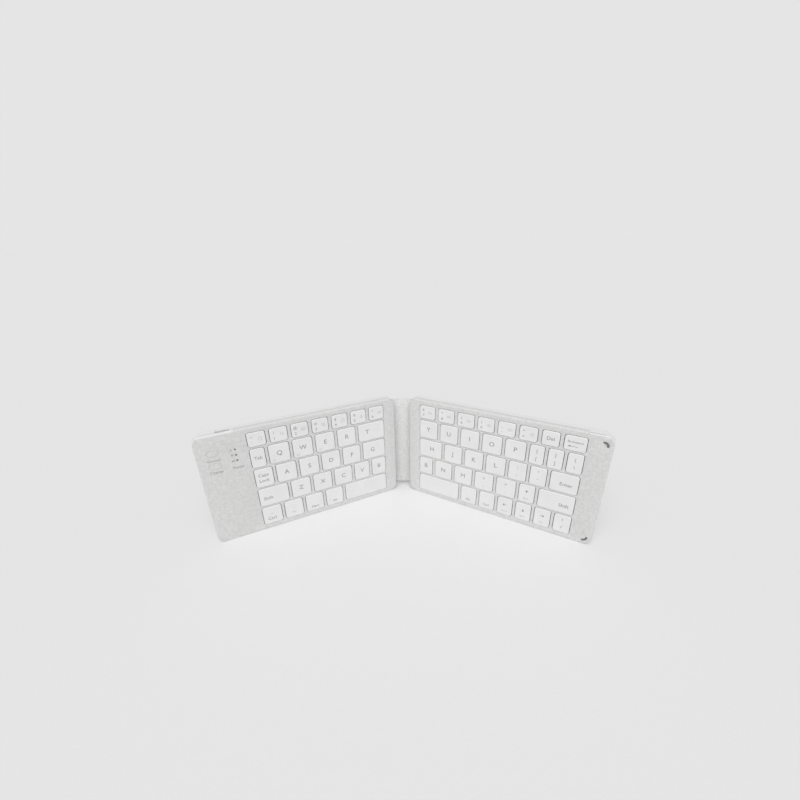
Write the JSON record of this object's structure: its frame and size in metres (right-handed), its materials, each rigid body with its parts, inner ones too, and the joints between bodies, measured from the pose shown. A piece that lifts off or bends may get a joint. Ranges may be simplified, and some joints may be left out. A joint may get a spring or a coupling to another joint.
{
  "type": "folding keyboard",
  "caption": "Folding keyboard: thin key halves on a flexible spine, pale woven-texture skins, keys that travel, charging port, indicator lenses and closing magnets.",
  "frame": {"origin": "middle of the object's footprint, on the surface that its front edges stand on", "axes": "+X along the keyboard towards the half with the enter key, +Y to the back of the spine, +Z from the front edges up to the rear edges"},
  "size_m": [0.278, 0.0736, 0.0885],
  "materials": {
    "skin": "woven-texture polyurethane skin, matt",
    "case": "fine satin moulded plastic",
    "key": "smooth satin caps",
    "steel": "bare sheet steel",
    "film": "clear polyester film",
    "dome": "milky silicone rubber",
    "link": "natural acetal",
    "magnet": "nickel plated",
    "battery": "laminated foil pouch",
    "board": "circuit board with chips",
    "port": "bright sheet steel",
    "lens": "smoked light guides",
    "bumper": "black rubber",
    "strip": "thin plastic strip",
    "cable": "polyimide flat cable"
  },
  "bodies": {
    "spine": {"spine_back_skin": "skin", "spine_stiffener": "strip", "flex_cable": "cable", "spine_face_skin": "skin"},
    "left_half": {"left_face_skin": "skin", "left_top_frame": "case", "left_back_cover": "case", "left_back_skin": "skin", "left_key_plate": "steel", "left_membrane": "film", "left_rubber_domes": "dome", "left_scissor_links": "link", "left_magnets": "magnet", "battery": "battery", "main_board": "board", "usb_port": "port", "indicator_lenses": "lens"},
    "right_half": {"right_face_skin": "skin", "right_top_frame": "case", "right_back_cover": "case", "right_back_skin": "skin", "right_key_plate": "steel", "right_membrane": "film", "right_rubber_domes": "dome", "right_scissor_links": "link", "right_magnets": "magnet", "corner_bumpers": "bumper"},
    "cap_q": {"key_q": "key"},
    "cap_w": {"key_w": "key"},
    "cap_e": {"key_e": "key"},
    "cap_r": {"key_r": "key"},
    "cap_t": {"key_t": "key"},
    "cap_a": {"key_a": "key"},
    "cap_s": {"key_s": "key"},
    "cap_d": {"key_d": "key"},
    "cap_f": {"key_f": "key"},
    "cap_g": {"key_g": "key"},
    "cap_z": {"key_z": "key"},
    "cap_x": {"key_x": "key"},
    "cap_c": {"key_c": "key"},
    "cap_v": {"key_v": "key"},
    "cap_b_left": {"key_b_left": "key"},
    "cap_left_space": {"left_space_key": "key"},
    "cap_left_number": {"left_number_keys": "key"},
    "cap_left_control": {"left_control_keys": "key"},
    "cap_y": {"key_y": "key"},
    "cap_u": {"key_u": "key"},
    "cap_i": {"key_i": "key"},
    "cap_o": {"key_o": "key"},
    "cap_p": {"key_p": "key"},
    "cap_h": {"key_h": "key"},
    "cap_j": {"key_j": "key"},
    "cap_k": {"key_k": "key"},
    "cap_l": {"key_l": "key"},
    "cap_b_right": {"key_b_right": "key"},
    "cap_n": {"key_n": "key"},
    "cap_m": {"key_m": "key"},
    "cap_right_space": {"right_space_key": "key"},
    "cap_right_number": {"right_number_keys": "key"},
    "cap_right_control": {"right_control_keys": "key"}
  },
  "joints": [
    {"name": "fold_left", "type": "hinge", "parent": "spine", "child": "left_half", "pos_m": [-0.00835, 0.03652, 0.04425], "axis": [0, 0, 1], "range_deg": [-27, 63]},
    {"name": "fold_right", "type": "hinge", "parent": "spine", "child": "right_half", "pos_m": [0.00835, 0.03652, 0.04425], "axis": [0, 0, -1], "range_deg": [-27, 63]},
    {"name": "press_q", "type": "slide", "parent": "left_half", "child": "cap_q", "axis": [-0.454, 0.891, 0], "range_m": [0, 0.0013], "stiffness_N_per_m": 400, "deforming": ["left_rubber_domes", "left_scissor_links"]},
    {"name": "press_w", "type": "slide", "parent": "left_half", "child": "cap_w", "axis": [-0.454, 0.891, 0], "range_m": [0, 0.0013], "stiffness_N_per_m": 400},
    {"name": "press_e", "type": "slide", "parent": "left_half", "child": "cap_e", "axis": [-0.454, 0.891, 0], "range_m": [0, 0.0013], "stiffness_N_per_m": 400},
    {"name": "press_r", "type": "slide", "parent": "left_half", "child": "cap_r", "axis": [-0.454, 0.891, 0], "range_m": [0, 0.0013], "stiffness_N_per_m": 400},
    {"name": "press_t", "type": "slide", "parent": "left_half", "child": "cap_t", "axis": [-0.454, 0.891, 0], "range_m": [0, 0.0013], "stiffness_N_per_m": 400},
    {"name": "press_a", "type": "slide", "parent": "left_half", "child": "cap_a", "axis": [-0.454, 0.891, 0], "range_m": [0, 0.0013], "stiffness_N_per_m": 400},
    {"name": "press_s", "type": "slide", "parent": "left_half", "child": "cap_s", "axis": [-0.454, 0.891, 0], "range_m": [0, 0.0013], "stiffness_N_per_m": 400},
    {"name": "press_d", "type": "slide", "parent": "left_half", "child": "cap_d", "axis": [-0.454, 0.891, 0], "range_m": [0, 0.0013], "stiffness_N_per_m": 400},
    {"name": "press_f", "type": "slide", "parent": "left_half", "child": "cap_f", "axis": [-0.454, 0.891, 0], "range_m": [0, 0.0013], "stiffness_N_per_m": 400},
    {"name": "press_g", "type": "slide", "parent": "left_half", "child": "cap_g", "axis": [-0.454, 0.891, 0], "range_m": [0, 0.0013], "stiffness_N_per_m": 400},
    {"name": "press_z", "type": "slide", "parent": "left_half", "child": "cap_z", "axis": [-0.454, 0.891, 0], "range_m": [0, 0.0013], "stiffness_N_per_m": 400},
    {"name": "press_x", "type": "slide", "parent": "left_half", "child": "cap_x", "axis": [-0.454, 0.891, 0], "range_m": [0, 0.0013], "stiffness_N_per_m": 400},
    {"name": "press_c", "type": "slide", "parent": "left_half", "child": "cap_c", "axis": [-0.454, 0.891, 0], "range_m": [0, 0.0013], "stiffness_N_per_m": 400},
    {"name": "press_v", "type": "slide", "parent": "left_half", "child": "cap_v", "axis": [-0.454, 0.891, 0], "range_m": [0, 0.0013], "stiffness_N_per_m": 400},
    {"name": "press_b_left", "type": "slide", "parent": "left_half", "child": "cap_b_left", "axis": [-0.454, 0.891, 0], "range_m": [0, 0.0013], "stiffness_N_per_m": 400},
    {"name": "press_left_space", "type": "slide", "parent": "left_half", "child": "cap_left_space", "axis": [-0.454, 0.891, 0], "range_m": [0, 0.0013], "stiffness_N_per_m": 400},
    {"name": "press_left_number", "type": "slide", "parent": "left_half", "child": "cap_left_number", "axis": [-0.454, 0.891, 0], "range_m": [0, 0.0013], "stiffness_N_per_m": 400},
    {"name": "press_left_control", "type": "slide", "parent": "left_half", "child": "cap_left_control", "axis": [-0.454, 0.891, 0], "range_m": [0, 0.0013], "stiffness_N_per_m": 400},
    {"name": "press_y", "type": "slide", "parent": "right_half", "child": "cap_y", "axis": [0.454, 0.891, 0], "range_m": [0, 0.0013], "stiffness_N_per_m": 400, "deforming": ["right_rubber_domes", "right_scissor_links"]},
    {"name": "press_u", "type": "slide", "parent": "right_half", "child": "cap_u", "axis": [0.454, 0.891, 0], "range_m": [0, 0.0013], "stiffness_N_per_m": 400},
    {"name": "press_i", "type": "slide", "parent": "right_half", "child": "cap_i", "axis": [0.454, 0.891, 0], "range_m": [0, 0.0013], "stiffness_N_per_m": 400},
    {"name": "press_o", "type": "slide", "parent": "right_half", "child": "cap_o", "axis": [0.454, 0.891, 0], "range_m": [0, 0.0013], "stiffness_N_per_m": 400},
    {"name": "press_p", "type": "slide", "parent": "right_half", "child": "cap_p", "axis": [0.454, 0.891, 0], "range_m": [0, 0.0013], "stiffness_N_per_m": 400},
    {"name": "press_h", "type": "slide", "parent": "right_half", "child": "cap_h", "axis": [0.454, 0.891, 0], "range_m": [0, 0.0013], "stiffness_N_per_m": 400},
    {"name": "press_j", "type": "slide", "parent": "right_half", "child": "cap_j", "axis": [0.454, 0.891, 0], "range_m": [0, 0.0013], "stiffness_N_per_m": 400},
    {"name": "press_k", "type": "slide", "parent": "right_half", "child": "cap_k", "axis": [0.454, 0.891, 0], "range_m": [0, 0.0013], "stiffness_N_per_m": 400},
    {"name": "press_l", "type": "slide", "parent": "right_half", "child": "cap_l", "axis": [0.454, 0.891, 0], "range_m": [0, 0.0013], "stiffness_N_per_m": 400},
    {"name": "press_b_right", "type": "slide", "parent": "right_half", "child": "cap_b_right", "axis": [0.454, 0.891, 0], "range_m": [0, 0.0013], "stiffness_N_per_m": 400},
    {"name": "press_n", "type": "slide", "parent": "right_half", "child": "cap_n", "axis": [0.454, 0.891, 0], "range_m": [0, 0.0013], "stiffness_N_per_m": 400},
    {"name": "press_m", "type": "slide", "parent": "right_half", "child": "cap_m", "axis": [0.454, 0.891, 0], "range_m": [0, 0.0013], "stiffness_N_per_m": 400},
    {"name": "press_right_space", "type": "slide", "parent": "right_half", "child": "cap_right_space", "axis": [0.454, 0.891, 0], "range_m": [0, 0.0013], "stiffness_N_per_m": 400},
    {"name": "press_right_number", "type": "slide", "parent": "right_half", "child": "cap_right_number", "axis": [0.454, 0.891, 0], "range_m": [0, 0.0013], "stiffness_N_per_m": 400},
    {"name": "press_right_control", "type": "slide", "parent": "right_half", "child": "cap_right_control", "axis": [0.454, 0.891, 0], "range_m": [0, 0.0013], "stiffness_N_per_m": 400}
  ]
}
